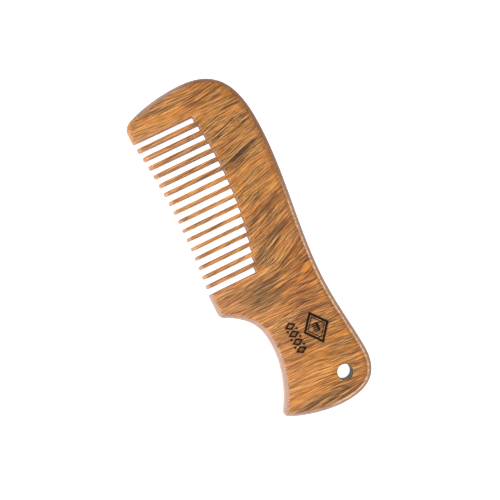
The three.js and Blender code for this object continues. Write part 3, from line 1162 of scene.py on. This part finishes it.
def edge_group():
    sockets = {"Colour": COLOUR, "Rim": FLOAT}
    tree, given, result = new_group("painted edge light and shade", sockets, {"Colour": COLOUR})
    rim = given["Rim"]
    place = place_on_comb(tree)
    along, up, _ = node(tree, "ShaderNodeSeparateXYZ", {"Vector": place}).outputs
    dots = fibres_over_board(tree, place)("end grain")
    spine_side = spread(tree, up, *SPINE_SIDE)
    # Painted shade: a slightly darker ring just inside the spine.
    ring = times(tree, spread(tree, rim, *RING), spine_side, PAINTED_SHADE_RING_STRENGTH)
    colour = tint(tree, ring, given["Colour"], BROWN)

    # Painted sheen on the round-over, thinner on the upright wall and left off the tooth tips near the
    # head.
    on_wall = spread(tree, rim, *UPRIGHT_WALL, 1.0, PAINTED_SHEEN_ON_WALL)
    on_dots = spread(tree, dots, 0.0, 1.0, PAINTED_SHEEN_ON_DOTS, 1.0)
    off_tips = spread(tree, up, *PAST_TOOTH_TIPS)
    sheen_shows = sums(tree, "MAXIMUM", off_tips, spread(tree, along, *TOWARDS_HANDLE))
    sheen_shows = spread(tree, sheen_shows, 0.0, 1.0, PAINTED_SHEEN_ON_TIPS, 1.0)
    painted_sheen = times(tree, spread(tree, rim, *ROUND_OVER), on_wall, on_dots, sheen_shows, PAINTED_SHEEN_STRENGTH)
    # The painted sheen is lilac on the tooth side; along the spine it turns from brown painted shade
    # at the head to mauve.
    shade = tint(tree, spread(tree, along, *BROWN_TO_MAUVE), BROWN_PAINTED_SHADE, MAUVE_PAINTED_SHEEN)
    shade = tint(tree, spine_side, LILAC_PAINTED_SHEEN, shade)
    colour = tint(tree, painted_sheen, colour, shade)

    # Painted highlight on the crest of the spine's round-over, broken up by the end-grain dots.
    crest = times(tree, spread(tree, rim, *CREST_RISES), spread(tree, rim, *CREST_FALLS))
    crest = times(tree, crest, spread(tree, along, *GLINT_BEGINS), spine_side)
    glint = times(tree, crest, spread(tree, dots, 0.0, 1.0, GLINT_ON_DOTS, 1.0))
    colour = tint(tree, glint, colour, PALE_PAINTED_HIGHLIGHT)
    tree.links.new(colour, result["Colour"])
    return tree


painted_edge_light = edge_group()
print("made", painted_edge_light.name)

# %% [markdown]
# ### The two materials
# A material only has to choose: it takes the wood's colour, lets the edge group paint light
# and shade on it, and adds what the mesh says about its own walls: painted light on the
# sawn slot walls, painted shade in the drilled hole, and scorch round the burnt lines. The
# comb was oiled and rubbed, so it has a thin, soft coat. A burnt line is charcoal: almost
# black, rough, and without any coat.

# %% Materials
# How strongly light is painted on the slot walls, and shade in the hole.
SLOT_WALL_LIGHT_STRENGTH = 0.3
HOLE_SHADE_STRENGTH = 0.95
SCORCH_STRENGTH = 0.5
PORE_DEPTH = 0.05 * MM
PORE_STRENGTH = 0.2
COAT = 0.12
COAT_ROUGHNESS = 0.32
WOOD_IOR = 1.5
CHARCOAL = paint(24, 8, 5)
SOOT = paint(44, 18, 10)
CHARCOAL_SHINE = 0.2
CHARCOAL_ROUGHNESS = (0.9, 0.7)  # between the streaks and in them


def field(tree, label):
    return node(tree, "ShaderNodeAttribute", attribute_name=label).outputs["Fac"]


def start_material(name):
    material = bpy.data.materials.new(name)
    material.use_nodes = True
    tree = material.node_tree
    return material, tree, tree.nodes["Principled BSDF"]


def sandalwood_material():
    material, tree, shader = start_material("sandalwood")
    wood = use_group(tree, wood_recipe, {})
    inputs = {"Colour": wood["Colour"], "Rim": field(tree, "rim")}
    colour = use_group(tree, painted_edge_light, inputs)["Colour"]
    # Painted light on the slot walls, which lie in shade.
    colour = tint(tree, times(tree, field(tree, "sawn"), SLOT_WALL_LIGHT_STRENGTH), colour, SLOT_WALL_PAINTED_LIGHT)
    # Painted shade on the wall of the hanging hole.
    colour = tint(tree, times(tree, field(tree, "drilled"), HOLE_SHADE_STRENGTH), colour, HOLE_PAINTED_SHADE)
    colour = tint(tree, times(tree, field(tree, "scorch"), SCORCH_STRENGTH), colour, UMBER)
    tree.links.new(colour, shader.inputs["Base Color"])
    tree.links.new(wood["Roughness"], shader.inputs["Roughness"])
    inputs = {"Height": wood["Height"], "Strength": PORE_STRENGTH, "Distance": PORE_DEPTH}
    pores = node(tree, "ShaderNodeBump", inputs)
    tree.links.new(pores.outputs["Normal"], shader.inputs["Normal"])
    shader.inputs["Coat Weight"].default_value = COAT
    shader.inputs["Coat Roughness"].default_value = COAT_ROUGHNESS
    shader.inputs["IOR"].default_value = WOOD_IOR
    return material


def burnt_material():
    material, tree, shader = start_material("burnt_mark")
    streaks = fibres_along_grain(tree, place_on_comb(tree))("burnt")
    tree.links.new(tint(tree, streaks, CHARCOAL, SOOT), shader.inputs["Base Color"])
    tree.links.new(spread(tree, streaks, 0.0, 1.0, *CHARCOAL_ROUGHNESS), shader.inputs["Roughness"])
    shader.inputs["Specular IOR Level"].default_value = CHARCOAL_SHINE
    return material


sandalwood = sandalwood_material()
burnt_mark = burnt_material()
for part in parts.values():
    part.data.materials.append(sandalwood)
    if max(face.material_index for face in part.data.polygons) == CHAR:
        part.data.materials.append(burnt_mark)
print("materials:", sandalwood.name, "and", burnt_mark.name)

# %% [markdown]
# ## Table and light
# The comb lies on a white table under soft light from all round, with a large soft lamp
# on the side of the tooth tips. That lamp lights the edges on that side more than the spine,
# and the edge group paints the same pale sheen and darker shade into the wood's colour. The
# table shows pure white to the camera, and lends a gentler light to the comb itself.

# %% Table
TABLE_HALF = 1.2  # m
TABLE_WHITE = paint(235, 235, 238)
TABLE_ROUGHNESS = 0.9
TABLE_GAP = 0.05 * MM
TABLE_GLOW = 0.6  # how much light the table lends to the comb


def make_table():
    z = LOW[2] * MM - TABLE_GAP
    corners = [(-TABLE_HALF, -TABLE_HALF, z), (TABLE_HALF, -TABLE_HALF, z)]
    corners += [(TABLE_HALF, TABLE_HALF, z), (-TABLE_HALF, TABLE_HALF, z)]
    mesh = bpy.data.meshes.new("table")
    mesh.from_pydata(corners, [], [(0, 1, 2, 3)])
    table = bpy.data.objects.new("table", mesh)
    bpy.context.collection.objects.link(table)
    material, tree, shader = start_material("white_table")
    shader.inputs["Base Color"].default_value = TABLE_WHITE
    shader.inputs["Roughness"].default_value = TABLE_ROUGHNESS
    seen = node(tree, "ShaderNodeLightPath").outputs["Is Camera Ray"]
    shader.inputs["Emission Color"].default_value = (1, 1, 1, 1)
    tree.links.new(spread(tree, seen, 0.0, 1.0, TABLE_GLOW, 1.0), shader.inputs["Emission Strength"])
    mesh.materials.append(material)
    return table


make_table()
print("table is", 2 * TABLE_HALF, "m square")

# %% [markdown]
# The room is a plain white surround. It is pure white where the camera sees it, and a
# little dimmer where it lights the comb. One large lamp beside the tooth tips then gives
# the light a direction. The Standard view shows colours exactly as they were picked.

# %% Light
ROOM_LIGHT = 0.76
LAMP_PLACE = Vector((0.12, -0.55, 0.32))
LAMP_SIZE = 0.5  # m
LAMP_POWER = 3.2  # W


def make_room():
    world = bpy.data.worlds.new("white_room")
    world.use_nodes = True
    tree = world.node_tree
    seen = node(tree, "ShaderNodeLightPath").outputs["Is Camera Ray"]
    strength = spread(tree, seen, 0.0, 1.0, ROOM_LIGHT, 1.0)
    feed(tree, tree.nodes["Background"].inputs["Color"], (1, 1, 1, 1))
    feed(tree, tree.nodes["Background"].inputs["Strength"], strength)
    bpy.context.scene.world = world


def make_lamp():
    data = bpy.data.lights.new("soft_lamp", "AREA")
    data.size = LAMP_SIZE
    data.energy = LAMP_POWER
    lamp = bpy.data.objects.new("soft_lamp", data)
    lamp.location = LAMP_PLACE
    lamp.rotation_euler = (-LAMP_PLACE).to_track_quat("-Z", "Y").to_euler()
    bpy.context.collection.objects.link(lamp)


make_room()
make_lamp()
bpy.context.scene.view_settings.view_transform = "Standard"
print("room light", ROOM_LIGHT, "lamp", LAMP_POWER, "W")
